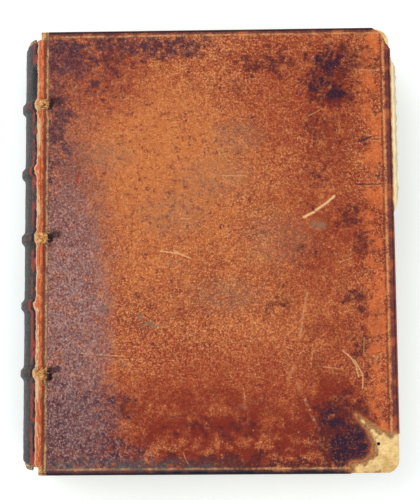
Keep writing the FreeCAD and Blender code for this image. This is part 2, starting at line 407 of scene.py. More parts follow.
# Zones of the front cover: softness, wander and its size, then rows of place, radii and strength
FRONT_ZONES = {
    "sunned": (0.6, 4, 30, (
        (-25, 50, 52, 56, 0.60), (-30, 0, 40, 40, 0.35), (12, 20, 60, 60, 0.25), (40, -30, 50, 36, 0.22),
    )),
    "deeper": (0.6, 4, 30, (
        (15, -95, 80, 30, 0.60), (70, 10, 26, 60, 0.45), (60, 95, 40, 40, 0.45), (90, 10, 16, 24, 0.5),
        (84, -58, 22, 26, 0.4), (-70, 110, 30, 26, 0.45),
    )),
    "wine": (0.5, 4, 22, (
        (10, -119, 92, 18, 0.9), (0, -102, 64, 16, 0.6), (80, 90, 15, 40, 0.65), (-40, -112, 44, 22, 0.6),
        (85, 12, 16, 24, 0.4), (76, -100, 20, 26, 0.8), (72, -62, 12, 22, 0.4), (72, 0, 8, 60, 0.3),
        (-70, 118, 34, 16, 0.4),
    )),
    "clouds": (0.55, 5, 20, (
        (88, 118, 26, 13, 0.7), (78, 100, 16, 14, 0.75), (74, 74, 12, 14, 0.45), (92, 20, 9, 8, 0.6),
        (99, 2, 9, 10, 0.7), (94, -33, 9, 7, 0.75), (84, -112, 24, 20, 0.85), (96, -62, 7, 14, 0.6),
        (40, 118, 30, 8, 0.6), (-20, 128, 24, 7, 0.7), (46, -35, 9, 7, 0.5), (-60, -96, 16, 10, 0.6),
        (10, -112, 30, 7, 0.5), (60, -4, 8, 9, 0.45), (20, 100, 10, 7, 0.4), (-62, 104, 12, 9, 0.5),
        (80, -118, 13, 22, 1.0), (70, 44, 10, 12, 0.45), (-36, -30, 9, 6, 0.3), (10, -134, 84, 6, 0.9),
        (-70, -134, 36, 7, 0.8), (-62, 124, 22, 12, 0.6),
    )),
    "ink": (0.5, 1.6, 8, (
        (84, 98, 6, 5, 0.85), (78, 118, 12, 8, 0.7), (92, -122, 11, 13, 0.9), (-89, 129, 13, 5, 0.8),
        (99, -128, 7, 6, 0.8), (72, 104, 9, 7, 0.55), (82, -126, 7, 11, 1.0), (76, -106, 7, 7, 0.7),
        (31, 110, 2.0, 1.4, 0.7), (30.5, 83.5, 2.0, 1.5, 0.6), (100, 67, 4.0, 2.4, 0.8),
        (58.6, 98.6, 2.2, 1.6, 0.6), (40, -19, 1.3, 1.0, 0.6), (98, -84, 1.4, 1.2, 0.6),
        (106, -45, 4, 16, 0.45), (105, 44, 5, 3, 0.5), (84.7, -113, 6, 10, 0.5),
    )),
    "band": (0.45, 5, 26, (
        (-96, -40, 33, 130, 1.0),
    )),
    "purple": (0.6, 5, 18, (
        (-84, -108, 28, 28, 0.8), (-93, 80, 8, 30, 0.7), (-98, 40, 6, 30, 0.5), (-88, 122, 20, 18, 0.7),
        (-40, 131, 50, 8, 0.6), (-100, -130, 16, 14, 0.7), (-66, -128, 26, 9, 0.7),
        (-72, 108, 26, 22, 0.35),
    )),
    # Painted sheen: lilac-grey patches where light would reflect off the band
    "band_sheen": (0.5, 3, 16, (
        (-84, -42, 20, 62, 0.65), (-84, -108, 24, 24, 0.3), (-90, 10, 12, 30, 0.4),
    )),
    "scuffs": (0.5, 1.4, 9, (
        (-21, -9, 4.2, 1.4, 0.7), (-65, -37, 3.2, 1.6, 0.7), (-42, -43, 2.6, 1.3, 0.7),
        (22.9, -98.9, 1.4, 1.4, 0.7), (6, 45, 22, 14, 0.22), (45, 5, 20, 16, 0.2), (-20, 22, 20, 14, 0.22),
        (70, 14, 5, 2.4, 0.6), (-52, -72, 2.2, 1.2, 0.6), (-35, -48, 7, 0.9, 0.75), (20, 70, 16, 10, 0.25),
        (-60, 60, 14, 9, 0.25), (12, -30, 20, 10, 0.25),
    )),
    # Painted shadows: near-black patches beside the bare cords, where shade falls
    "hollow_shadows": (0.35, 1.6, 5, [
        (JOINT_X + away, BANDS[number - 1] + up, *rest) for number in BARE_BANDS
        for away, up, *rest in ((6.6, -0.8, 1.9, 4.4, 1.0), (9.4, 2.0, 5.0, 2.4, 0.75))
    ]),
    "bare": (0.7, 1.6, 3, (
        (JOINT_X + 1.2, HEAD_Y - 2.0, 2.0, 4.0, 0.85), (JOINT_X + 0.8, TAIL_Y + 2.5, 2.0, 3.2, 0.7),
    )),
}


def leather_relief(coat, crackle):
    """Grain, rub marks and, where crackle is 1, a net of fine cracks."""
    pores = coat.noise(0.9, 3, 0.65)
    rubbed = coat.noise(2.6, 2, 0.6, stretch=(2.2, 0.8, 1))
    coat.bump(coat.plus(pores, rubbed), 0.18)
    net = coat.cells(2.1, "DISTANCE_TO_EDGE", stretch=(1.3, 0.8, 1))
    cracks = coat.ramp(net, 0.16, 0.0)
    coat.bump(coat.minus(1.0, coat.both(cracks, crackle)), 0.22)


def mottled(coat, seed):
    """Brown calf with darker and lighter clouds, and specks."""
    clouds = coat.noise(40, 4, 0.62, shift=seed)
    middle = coat.noise(12, 4, 0.68, shift=seed + 40)
    small = coat.noise(3.6, 4, 0.7, shift=seed + 80)
    fine = coat.noise(1.7, 4, 0.9, shift=seed + 120)
    streaks = coat.noise(2.4, 3, 0.65, stretch=(3.4, 0.7, 1), shift=seed + 160)
    hue = coat.noise(8, 4, 0.75, shift=seed + 200)
    coat.colour = coat.mix((clouds, 0.36, 0.64), RED_BROWN, BROWN)
    coat.lay(TAN, (middle, 0.45, 0.66), 0.5)
    coat.lay(RED_BROWN, (middle, 0.5, 0.34), 0.4)
    coat.lay((196, 132, 74), (hue, 0.52, 0.66), 0.55)
    coat.lay((172, 66, 46), (hue, 0.48, 0.36), 0.45)
    coat.lay((112, 42, 26), (small, 0.52, 0.68), 0.6)
    coat.lay((222, 130, 72), (streaks, 0.54, 0.66), 0.5)
    coat.lay((108, 38, 24), (fine, 0.5, 0.56), 0.75)
    coat.lay((232, 156, 98), (fine, 0.46, 0.4), 0.7)
    specks = coat.noise(1.15, 2, 0.7, shift=seed + 240)
    coat.lay((98, 32, 26), (specks, 0.56, 0.63), 0.7)
    coat.lay((238, 168, 124), (specks, 0.43, 0.36), 0.6)
    return small, fine, middle


def front_leather_material():
    """Calf of the front cover, with the colours, wear and scratches that it has place by place."""
    coat = Shader("front calf", roughness=0.5, specular=0.13)
    small, fine, middle = mottled(coat, 0.0)
    grit = coat.ramp(fine, 0.42, 0.58)
    patches = coat.noise(5.0, 4, 0.75, shift=19)
    patchy = coat.ramp(patches, 0.38, 0.60)
    clouded = coat.noise(22, 2, 0.6, shift=66)

    # Sunned tan at the upper left, redder and deeper lower down and at the right
    coat.lay(TAN, coat.zone("sunned"), (small, 0.7, 0.46))
    coat.lay(RED_BROWN, coat.zone("deeper"), (small, 0.3, 0.52))
    coat.lay(WINE, coat.zone("wine"), (middle, 0.62, 0.45))
    coat.lay(DARK, coat.cover("clouds", patches), (fine, 0.36, 0.52, 0.45, 0.95))
    coat.lay(NAVY, coat.cover("ink", patches), (fine, 0.36, 0.52, 0.35, 0.92))

    # Band along the spine side: dark, crackled, with a greyish sheen painted on in lilac
    band = coat.zone("band")
    cracked = coat.any(band, coat.zone("purple"))
    coat.lay(BAND_BROWN, band, (middle, 0.36, 0.5), 0.8)
    coat.lay(PURPLE, coat.cover("purple", patches), 0.85)
    # Painted sheen: lilac grey laid over the band
    coat.lay(LILAC, coat.zone("band_sheen"), (small, 0.34, 0.66), 0.8)
    # Painted highlights: pale pink glints on the crackle, stronger lower down
    crackle_glints = coat.ramp(coat.noise(1.3, 2, 0.75, stretch=(0.9, 1.1, 1), shift=27), 0.50, 0.60)
    lower = coat.ramp(coat.y, 95, 10, 0.35, 1.0)
    coat.lay((206, 158, 146), cracked, crackle_glints, lower, 0.6)
    pinholes = coat.ramp(coat.noise(1.3, 2, 0.75, stretch=(0.9, 1.1, 1), shift=57), 0.50, 0.60)
    coat.lay((66, 38, 58), cracked, pinholes, lower, 0.65)

    # Rubbed orange strip by the fore-edge
    coat.lay(ORANGE, (coat.x, 97, 103), (middle, 0.44, 0.56), 0.6)

    # Grime and bloom along the tail
    tail = coat.both((coat.y, TAIL_Y + 13, TAIL_Y + 4), patchy, 0.95)
    coat.lay(TEAL, tail, (coat.x, 40, -20))
    coat.lay(LILAC, tail, (fine, 0.5, 0.62), (coat.x, 20, -30), 0.6)

    # Dark pits everywhere, and grey scuffs
    coat.lay(DARK, (coat.cells(4.6, stretch=(1.2, 0.8, 1)), 0.15, 0.06), 0.7)
    nicks = coat.cells(5.4, stretch=(0.8, 1.2, 1))
    coat.lay((228, 172, 140), (nicks, 0.12, 0.05), (clouded, 0.46, 0.56), 0.55)
    coat.lay(GREY, coat.zone("scuffs"), (small, 0.36, 0.52))

    # Scratches that show raw leather
    rough_line = coat.flat(coat.warped(0.5, 1.4, 5))
    broken = coat.ramp(patchy, 0.1, 0.5)
    broken_wide = coat.ramp(fine, 0.2, 0.5)
    wide = (((61.7, 18.8), (68.0, 21.8)), ((69.3, 23.1), (76, 27.6), (80.7, 31.8)))
    bold = (
        ((84.4, -65.0), (91.7, -71.2), (96.4, -79.8), (96.0, -88)),
        ((87.5, -66.9), (92.0, -73.5), (93.6, -81)),
        ((-28.6, -1.7), (-18.6, -3.1), (-9.9, -6.3)), ((-20, -1.5), (-14, -4.6)),
    )
    thin = (
        ((65.7, -60.5), (64.5, -74.7)), ((97.5, -56.5), (96.8, -74.3)), ((104.0, 66.9), (112.8, 66.8)),
        ((95.2, 38.0), (110.2, 37.9)), ((62.2, 125.5), (74.2, 125.4)), ((93.0, 112.4), (113.8, 112.1)),
        ((65.3, 83.1), (72.9, 86.8)), ((-78.6, -65.2), (-50.6, -67.3)), ((-53.7, -68.8), (-20.2, -70.0)),
        ((-19.2, 18.6), (-9.1, 18.5)), ((10.6, 45.5), (25.7, 45.3)), ((27.9, 19.8), (40.4, 19.6)),
        ((-14.9, -126.6), (-11.9, -133.3)), ((22.4, -86.6), (23.5, -94.6)), ((109.6, 92.8), (113.2, 85.0)),
        ((83.6, -9.7), (91.1, -7.3)), ((68, -74), (82, -76)),
    )
    wear = (
        ((62.8, -28.3), (60.1, -42.5), (58.0, -56.8)), ((55.7, -84.4), (61.1, -96.1), (67.0, -110.1)),
        ((54, -74), (50, -82)), ((103, -68), (107, -70.5)), ((104, -71), (106.5, -67.5)),
    )
    raw = coat.both(coat.strokes(rough_line, wide, 1.3), broken_wide)
    raw = coat.any(raw, coat.both(coat.strokes(rough_line, bold, 0.7), 0.62))
    raw = coat.any(raw, coat.both(coat.strokes(rough_line, thin, 0.45), broken, 0.45))
    raw = coat.any(raw, coat.both(coat.strokes(rough_line, wear, 1.5), broken, grit, 0.45))
    coat.lay(CREAM, raw)
    inked = (((95.2, 39.2), (110.2, 39.1)), ((96.4, 66.4), (104.7, 69.1)))
    coat.lay(NAVY, coat.strokes(rough_line, inked, 0.8), 0.8)
    coat.lay((176, 44, 26), coat.strokes(rough_line, (((-79.7, 48.9), (-80.9, 41.9)),), 0.8))

    # Tooled double line round the edge, rubbed pale
    to_fore = coat.minus(FORE_X, coat.x)
    to_joint = coat.minus(coat.x, JOINT_X)
    sides = coat.minus(HEAD_Y, coat.size(coat.y))
    fore_line = coat.ramp(coat.off(to_fore, 5.2), 0.95, 0.35)
    inner_line = coat.ramp(coat.off(to_fore, 6.6), 0.8, 0.3)
    end_line = coat.ramp(coat.off(sides, 3.7), 1.1, 0.4)
    lines = coat.any(fore_line, end_line)
    shown = coat.both((middle, 0.40, 0.56, 0.15, 0.72), (fine, 0.60, 0.44, 0.35, 1.0))
    coat.lay((96, 44, 40), inner_line, (small, 0.36, 0.5), 0.7)
    coat.lay((206, 158, 108), lines, shown)

    # The edges: dark where handled, with a painted highlight along the fore-edge, then torn and raw at the
    # joint, with painted shadow in the hollows beside the bare cords
    blotches = coat.ramp(middle, 0.60, 0.42)
    handled = coat.any((to_fore, 4.4, 3.6), coat.both((sides, 3.4, 2.4), 0.9))
    coat.lay((86, 44, 52), handled, (middle, 0.62, 0.48, 0.5, 1.0), 0.85)
    coat.lay((30, 44, 54), (coat.y, TAIL_Y + 3.2, TAIL_Y + 2.2), (coat.x, -50, -20), blotches)
    coat.lay((34, 34, 44), (sides, 1.7, 0.7), 0.92)
    # Painted highlight: pinkish light along the very fore-edge
    coat.lay((150, 92, 86), (to_fore, 1.2, 0.3), 0.7)
    head = coat.ramp(coat.y, HEAD_Y - 7.0, HEAD_Y - 2.6)
    rubbed = coat.ramp(middle, 0.52, 0.62)
    coat.lay(ORANGE, head, (sides, 1.6, 2.4), rubbed, 0.45)
    wavering = coat.noise(5.0, 4, 0.7, shift=12)
    ragged = coat.plus(to_joint, coat.both(wavering, 2.4))
    olive = coat.mix(grit, (140, 100, 66), (204, 164, 112))
    coat.lay((110, 64, 58), (ragged, 6.9, 6.2), 0.8)
    kept_pale = coat.ramp(coat.noise(9, 3, 0.6, stretch=(0.4, 1.6, 1), shift=71), 0.36, 0.52, 0.1, 0.95)
    coat.lay(olive, (ragged, 6.4, 5.9), kept_pale)
    coat.lay((112, 46, 38), (ragged, 5.1, 4.6), 0.85)
    rust = coat.mix((small, 0.44, 0.56), (182, 74, 38), (220, 110, 58))
    coat.lay(rust, (ragged, 3.3, 2.7))
    coat.lay(coat.mix(fine, RAW, (206, 150, 110)), (ragged, 1.9, 1.4), (middle, 0.40, 0.50))
    coat.lay(coat.mix(grit, ORANGE, (222, 150, 92)), coat.zone("rim"))
    # Painted shadow in the hollows beside the bare cords
    coat.lay((26, 12, 20), coat.zone("hollow_shadows"))
    coat.lay(coat.mix(grit, (206, 156, 92), (240, 206, 140)), coat.zone("bare"))

    leather_relief(coat, cracked)
    coat.bump(coat.minus(1.0, lines), 0.35)
    return coat.finish(coat.ramp(small, 0.3, 0.7, 0.40, 0.62))


def back_leather_material():
    """Calf of the back cover: the same skin, without the front's particular marks."""
    coat = Shader("back calf", roughness=0.52, specular=0.3)
    seed = 300.0
    small = mottled(coat, seed)[0]
    patchy = coat.ramp(coat.noise(7.0, 4, 0.7, shift=seed), 0.36, 0.62)
    edge_x = coat.least(coat.minus(FORE_X, coat.x), coat.minus(coat.x, JOINT_X))
    edge = coat.least(edge_x, coat.minus(HEAD_Y, coat.size(coat.y)))
    coat.lay(DARK, (edge, 30, 4), patchy, 0.8)
    lines = coat.any(*(coat.ramp(coat.off(edge, inset), 0.75, 0.1) for inset in (4.3, 5.5)))
    coat.lay((196, 150, 98), lines, 0.5)
    coat.lay((46, 36, 42), (edge, 2.4, 0.6), 0.85)
    leather_relief(coat, 0.25)
    coat.bump(coat.minus(1.0, lines), 0.35)
    return coat.finish(coat.ramp(small, 0.3, 0.7, 0.42, 0.62))


def spine_material():
    """Darkened calf of the spine, rubbed to rust at the bands and edges, raw where it has torn."""
    coat = Shader("spine calf", roughness=0.5, specular=0.3)
    small = coat.noise(3.0, 5, 0.7)
    clouds = coat.noise(15, 5, 0.65, shift=9)
    coat.colour = coat.mix((clouds, 0.4, 0.6), (26, 34, 34), (58, 40, 44))
    coat.lay((104, 66, 56), (small, 0.52, 0.64), 0.6)
    coat.lay((22, 26, 30), (small, 0.46, 0.36), 0.6)
    coat.lay((116, 112, 104), (coat.noise(1.3, 4, 0.7), 0.54, 0.66), 0.5)
    # Pale rubs along the bands, and painted shade at their feet
    for y in BANDS:
        away = coat.off(coat.y, y)
        coat.lay((124, 84, 72), (away, 2.6, 0.8), (small, 0.46, 0.6), 0.5)
        # Painted shade: a dark line at each foot of a band
        coat.lay((22, 20, 24), (coat.off(away, 4.4), 0.9, 0.2), 0.6)
    # Down the front joint: red under-skin, the crack painted near-black as its shade, then the torn lip, pale
    # and orange
    along = coat.noise(7, 4, 0.7, stretch=(1, 1.8, 1), shift=44)
    rag = coat.plus(coat.z, coat.both(coat.noise(3.5, 4, 0.7, shift=2), 1.8))
    coat.lay((158, 52, 34), (rag, TOP_Z - 4.4, TOP_Z - 3.4), (along, 0.42, 0.52), 0.9)
    crack = coat.both((rag, TOP_Z - 2.4, TOP_Z - 1.7), (coat.noise(20, 4, 0.7, shift=31), 0.42, 0.50))
    opened = coat.ramp(coat.off(coat.y, 108), 12, 9)
    crack = coat.any(crack, coat.both(opened, (rag, TOP_Z - 4.6, TOP_Z - 3.8)))
    # Painted shade: the crack, and its wider opening near y 108, near-black
    coat.lay((8, 4, 8), crack)
    coat.lay(coat.mix(small, RAW, (222, 170, 116)), (rag, TOP_Z - 0.75, TOP_Z - 0.4))
    coat.lay((208, 98, 52), (rag, TOP_Z - 0.3, TOP_Z + 0.2), (along, 0.40, 0.52))
    net = coat.cells(2.6, "DISTANCE_TO_EDGE", stretch=(1, 1.3, 0.8))
    coat.bump(coat.noise(1.0, 4, 0.65), 0.2)
    coat.bump(coat.ramp(net, 0.0, 0.14), 0.25)
    return coat.finish(coat.ramp(small, 0.3, 0.7, 0.34, 0.6))


# Paper, board and thread

def pasteboard_material():
    """Raw pasteboard: layers of rag paper, cream, browner at the surface, with dirt and worm holes."""
    coat = Shader("pasteboard", roughness=0.85, specular=0.2)
    clouds = coat.noise(9, 5, 0.65)
    fine = coat.noise(1.2, 4, 0.7)
    layers = coat.noise(0.55, 3, 0.7, stretch=(14, 14, 1))
    coat.colour = coat.mix((clouds, 0.35, 0.65), (222, 180, 112), (248, 214, 148))
    coat.lay((184, 138, 84), (fine, 0.52, 0.7), 0.4)
    coat.lay((186, 146, 92), (layers, 0.5, 0.6), 0.3)
    wrinkle = coat.noise(3.2, 3, 0.6, stretch=(2.4, 0.6, 1))
    coat.lay((150, 112, 78), (coat.off(wrinkle, 0.5), 0.02, 0.0), 0.6)
    coat.lay((178, 146, 110), (coat.noise(5.5, 4, 0.7, shift=15), 0.50, 0.66), 0.4)
    coat.lay((252, 240, 198), (coat.x, FORE_X - 0.2, FORE_X + 1.0), 0.6)
    coat.lay(coat.mix((fine, 0.4, 0.6), (120, 76, 46), (176, 128, 82)), coat.zone("under_layer"), 0.85)
    # Worm holes, painted near-black for the shade inside them
    worm = (((97.3, -130.0), (97.7, -129.8)), ((105.0, -121.9), (105.1, -121.8)))
    coat.lay((24, 18, 18), (coat.strokes(coat.flat(coat.place), worm, 1.8), 0.2, 0.6))
    coat.bump(fine, 0.12)
    coat.bump(wrinkle, 0.4)
    return coat.finish()


def leaf_material():
    """Cut edges of toned rag paper: thin lines of leaves, with browner patches."""
    coat = Shader("leaf edges", roughness=0.9, specular=0.15)
    leaves = coat.noise(0.22, 3, 0.75, stretch=(60, 60, 1))
    groups = coat.noise(1.5, 3, 0.6, stretch=(80, 80, 1), shift=5)
    stain = coat.noise(22, 5, 0.6, stretch=(1, 1, 0.6))
    coat.colour = coat.mix((leaves, 0.35, 0.65), (196, 168, 124), (226, 204, 164))
    coat.lay((150, 116, 78), (groups, 0.5, 0.66), 0.55)
    coat.lay((160, 118, 72), (stain, 0.5, 0.75), 0.5)
    coat.bump(leaves, 0.22)
    coat.bump(groups, 0.35)
    return coat.finish()


def endpaper_material():
    """Toned laid paper, with chain lines, foxing and the brown shadow of the turn-ins."""
    coat = Shader("endpaper", roughness=0.9, specular=0.15)
    fine = coat.noise(1.0, 4, 0.7)
    foxing = coat.ramp(coat.noise(7, 4, 0.7, shift=3), 0.6, 0.74)
    wave = coat.wave(coat.y, 1.2)
    chain = coat.wave(coat.x, 25.0)
    coat.colour = coat.mix((fine, 0.4, 0.6), (222, 200, 158), (208, 182, 138))
    coat.lay((168, 122, 76), foxing, 0.5)
    coat.lay((184, 156, 114), (chain, 0.985, 1.0), 0.25)
    edge_x = coat.minus(FORE_X - TURN_IN, coat.x)
    edge_y = coat.minus(HEAD_Y - TURN_IN, coat.size(coat.y))
    edge = coat.plus(coat.least(edge_x, edge_y), coat.both(fine, 3.0))
    coat.lay((150, 104, 62), (edge, 3.5, 0.5), 0.55)
    coat.bump(wave, 0.02)
    coat.bump(fine, 0.06)
    return coat.finish()


def thread_material():
    """Endband thread: turns of faded natural and brown silk over a core."""
    coat = Shader("endband thread", roughness=0.7, specular=0.3)
    turns = coat.wave(coat.z, 2.4)
    strands = coat.wave(coat.z, 0.6)
    dirt = coat.noise(2.5, 4, 0.7)
    coat.colour = coat.mix((turns, -0.2, 0.2), (222, 196, 140), (128, 92, 62))
    coat.lay((110, 84, 60), (dirt, 0.45, 0.65), 0.5)
    coat.bump(strands, 0.25)
    return coat.finish()


def cord_material():
    """Hemp, golden tan, with painted shade making it darker between the fibres."""
    coat = Shader("hemp", roughness=0.85, specular=0.2)
    fibres = coat.noise(0.7, 4, 0.7, stretch=(3.5, 0.7, 0.7))
    clouds = coat.noise(3.5, 3, 0.6)
    # Painted shade: the fibre streaks run dark between the fibres
    coat.colour = coat.mix((fibres, 0.38, 0.54), (164, 84, 40), (255, 198, 124))
    coat.lay((120, 54, 34), (clouds, 0.5, 0.62), 0.7)
    coat.bump(fibres, 0.3)
    return coat.finish()


def floor_material():
    """Pale backdrop: white to the camera and in reflections, with the object's shadow on it."""
    coat = Shader("backdrop", roughness=0.95, specular=0.1)
    soft = coat.noise(260, 2, 0.5)
    coat.colour = coat.mix((soft, 0.3, 0.7), (232, 236, 235), (240, 243, 242))
    coat.finish()
    path = coat.nodes.new("ShaderNodeLightPath")
    seen = coat.any(*(path.outputs[f"Is {kind} Ray"] for kind in ("Camera", "Glossy", "Transmission")))
    coat.surface.inputs["Emission Color"].default_value = linear((250, 254, 252))
    coat.put(coat.both(seen, 0.27), coat.surface.inputs["Emission Strength"])
    return coat.material


MATERIALS = {
    "front": front_leather_material(),
    "back": back_leather_material(),
    "spine": spine_material(),
    "pasteboard": pasteboard_material(),
    "leaves": leaf_material(),
    "endpaper": endpaper_material(),
    "thread": thread_material(),
    "cord": cord_material(),
}
SLOT_MATERIALS = {
    "calf": "back", "spine_calf": "spine", "pasteboard": "pasteboard", "leaves": "leaves",
    "endpaper": "endpaper", "endband_thread": "thread", "hemp_cord": "cord",
}
for row in frame["record"]["subparts"]:
    node = frame["nodes"][row["node"]]
    material = MATERIALS[SLOT_MATERIALS[row["material_slot"]]]
    if not node.material_slots:
        node.data.materials.append(None)
    for slot in node.material_slots:
        slot.link = "OBJECT"
        slot.material = material


# Cover skin: one sheet over a board's face, round its three edges and on to its inner face

def cover_edge_x(y, radius):
    """Where a board's rounded corner lets the leather reach at height y."""
    into = np.clip(np.abs(y) - (HEAD_Y - radius), 0, radius)
    return FORE_X - radius + np.sqrt(radius ** 2 - into ** 2)


def cover_skin(radius, spacing, roll):
    """Vertices and faces of a cover's leather, lying face up."""
    columns = int((FORE_X - JOINT_X) / spacing)
    rows = int(2 * HEAD_Y / spacing)
    u, v = np.meshgrid(np.linspace(0, 1, columns), np.linspace(0, 1, rows))
    inset_head = HEAD_Y - roll
    y = (2 * v - 1) * inset_head
    edge = cover_edge_x(y * HEAD_Y / inset_head, radius) - roll
    x = JOINT_X + (edge - JOINT_X) * u
    face = np.stack([x.ravel(), y.ravel(), np.full(x.size, TOP_Z)], axis=1)
    # The rim runs from the joint along the head, down the fore-edge and back along the tail
    rim = [(rows - 1) * columns + i for i in range(columns)]
    rim += [j * columns + columns - 1 for j in range(rows - 2, -1, -1)]
    rim += range(columns - 2, -1, -1)
    points = face[rim, :2]
    tangent = np.gradient(points, axis=0)
    outward = np.stack([-tangent[:, 1], tangent[:, 0]], axis=1)
    outward /= np.linalg.norm(outward, axis=1)[:, None]
    outward[0], outward[-1] = (0, 1), (0, -1)
    # Rings go over the edge, down the side, round below and in under the board
    depth = TOP_Z - COVER_BOTTOM
    profile = [(roll * math.sin(a), -roll * (1 - math.cos(a))) for a in np.radians((22, 45, 67, 90))]
    profile += [(roll, -depth * 0.4), (roll, -depth * 0.6), (roll, -depth + LOW_ROLL)]
    for a in np.radians((45, 90)):
        profile.append((roll - LOW_ROLL * (1 - math.cos(a)), -depth + LOW_ROLL - LOW_ROLL * math.sin(a)))
    rings = []
    for out, down in profile:
        rings.append(np.column_stack([points + outward * out, np.full(len(rim), TOP_Z + down)]))
    outer = points + outward * (roll - LOW_ROLL)
    for reach in (4.0, 9.0, TURN_IN):
        inner_x = np.minimum(outer[:, 0], FORE_X - reach)
        inner_y = np.clip(outer[:, 1], -HEAD_Y + reach, HEAD_Y - reach)
        rings.append(np.column_stack([inner_x, inner_y, np.full(len(rim), COVER_BOTTOM)]))
    faces = grid_faces(rows, columns)
    previous = rim
    for k in range(len(rings)):
        current = [len(face) + k * len(rim) + i for i in range(len(rim))]
        faces += [(previous[i + 1], previous[i], current[i], current[i + 1]) for i in range(len(rim) - 1)]
        previous = current
    return np.vstack([face] + rings), faces


def cut_away(verts, faces, outline, low=-1e9):
    """Takes out what lies inside an outline, seen from above, and draws the rest back to its edge."""
    distance, nearest = polygon_distance(verts[:, :2], outline)
    inside = (distance < 0) & (verts[:, 2] > low)
    kept = [f for f in faces if not all(inside[i] for i in f)]
    used = np.zeros(len(verts), bool)
    used[[i for f in kept for i in f]] = True
    move = inside & used
    verts[move, :2] = nearest[move]
    return kept


def open_edges(faces):
    """Edges that only one face uses, in that face's direction."""
    seen = {}
    for f in faces:
        for a, b in zip(f, f[1:] + f[:1]):
            if (b, a) in seen:
                del seen[(b, a)]
            else:
                seen[(a, b)] = True
    return list(seen)


def edge_walls(verts, faces, chosen, floor):
    """Thickness of a sheet along its open edges: a wall from each down to the floor height."""
    edges = [(a, b) for a, b in open_edges(faces) if chosen[a] and chosen[b]]
    below = {}
    extra = []
    for i in (i for edge in edges for i in edge):
        if i not in below:
            below[i] = len(verts) + len(extra)
            extra.append((verts[i, 0], verts[i, 1], min(floor, verts[i, 2] - 0.05)))
    walls = [(b, a, below[a], below[b]) for a, b in edges]
    return np.vstack([verts, extra]), faces + walls


def front_losses():
    """Outlines of what wear has taken out of the front leather, apart from the lost corner."""
    inner_x = FORE_X - HEAD_CORNER_LOSS
    head = [(inner_x - 3, HEAD_Y + 8), (inner_x - 1, HEAD_Y - 0.6), (FORE_X - 7.0, HEAD_Y - 3.2),
            (FORE_X - 4.6, HEAD_Y - 7.2), (FORE_X - 2.9, HEAD_Y - 10.6), (FORE_X - 0.3, HEAD_Y - 13.8),
            (FORE_X + 8, HEAD_Y - 16), (FORE_X + 8, HEAD_Y + 8)]
    fray = [(FORE_X - 0.2, FRAY_BOTTOM - 6), (FORE_X - 0.4, FRAY_BOTTOM + 6), (FORE_X - 0.4, FRAY_TOP - 8),
            (FORE_X - 0.2, FRAY_TOP + 2), (FORE_X + 3, FRAY_TOP + 2), (FORE_X + 3, FRAY_BOTTOM - 6)]
    slit = [(SLIT_X - 0.5, HEAD_Y + 1), (SLIT_X + 0.6, HEAD_Y + 1), (SLIT_X + 0.2, HEAD_Y - 6)]
    losses = [torn(head, 3.0, 0.35, 31), torn(fray, 7.0, 0.35, 41), slit]
    for number in BARE_BANDS:
        hole = [(JOINT_X + x, BANDS[number - 1] + y) for x, y in CORD_HOLE]
        losses.append(torn(hole, 4.0, 0.5, 50 + number))
    return losses


def front_leather():
    """The front cover's leather, with what wear has taken out of it."""
    verts, faces = cover_skin(WORN_RADIUS, 0.9, 1.3)
    flat = verts[:, :2].copy()
    top = verts[:, 2] > TOP_Z - 0.01
    # The sheet is a little uneven, lumpy over the laced cords and lifted at its torn edges
    z = 0.10 * noise(flat, 38, 4) + 0.06 * noise(flat, 11, 5) + 0.03 * noise(flat, 4, 6)
    joint_away = flat[:, 0] - JOINT_X
    for y in BANDS:
        z += 0.6 * np.exp(-((joint_away - 13) / 9) ** 4 - ((flat[:, 1] - y + 2) / 6.0) ** 4)
    corner = torn(LOST_CORNER, 5.0, 0.5, 21)
    corner_away = np.clip(polygon_distance(flat, corner)[0], 0, None)
    z += 0.65 * np.exp(-corner_away / 1.4)
    z += (0.35 + 0.35 * noise(flat, 16, 8)) * np.exp(-joint_away / 1.6)
    z -= 0.35 * np.exp(-((joint_away - 3.6) / 1.3) ** 2)
    # Thrown right back, the cover turns over the spine's edge, so it rises from the joint only slowly
    z = np.minimum(z, 0.42 * joint_away - 0.04)
    near_edge = np.minimum(FORE_X - flat[:, 0], HEAD_Y - np.abs(flat[:, 1]))
    verts[:, 2] += np.where(top, z * np.clip(near_edge / 2.0, 0, 1), 0)
    for outline in [corner] + front_losses():
        faces = cut_away(verts, faces, outline)
    # Along the joint only the upper sheet is ragged, not its turned edges
    high, low = HEAD_Y + 1, TAIL_Y - 1
    rag = [(-2, high), (0.1, high), (0.5, 60), (0.2, 0), (0.5, -60), (0.1, low), (-2, low)]
    rag = torn([(JOINT_X + x, y) for x, y in rag], 9.0, 0.35, 60)
    faces = cut_away(verts, faces, rag, BOARD_TOP)
    verts, faces = edge_walls(verts, faces, verts[:, 2] > BOARD_TOP + 0.2, BOARD_TOP + 0.02)
    piece = make_piece("front_calf", verts, faces, "front_cover", MATERIALS["front"])
    points = verts[:, :2]
    for name, zone in FRONT_ZONES.items():
        store(piece, name, zone_mask(points, zone))
    rim = 0.75 * np.exp(-corner_away / 0.9)
    store(piece, "rim", np.append(rim, np.zeros(len(verts) - len(rim))))
    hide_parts("front_board_leather")


def back_leather():
    """The back cover's leather, whole, face down."""
    verts, faces = cover_skin(SOUND_RADIUS, 1.6, 1.0)
    flat = verts[:, :2]
    near_edge = np.minimum(FORE_X - flat[:, 0], HEAD_Y - np.abs(flat[:, 1]))
    relief = 0.05 * noise(flat, 30, 14) - 0.08
    top = verts[:, 2] > TOP_Z - 0.01
    verts[:, 2] += np.where(top, relief * np.clip(near_edge / 2.0, 0, 1), 0)
    verts[:, 2] = TOP_Z - verts[:, 2]
    faces = [f[::-1] for f in faces]
    piece = make_piece("back_calf", verts, faces, "back_cover", MATERIALS["back"])
    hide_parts("back_board_leather")


def arc_radius(half, rise):
    """Radius of an arc that rises so far over half its chord."""
    return (half ** 2 + rise ** 2) / (2 * rise)


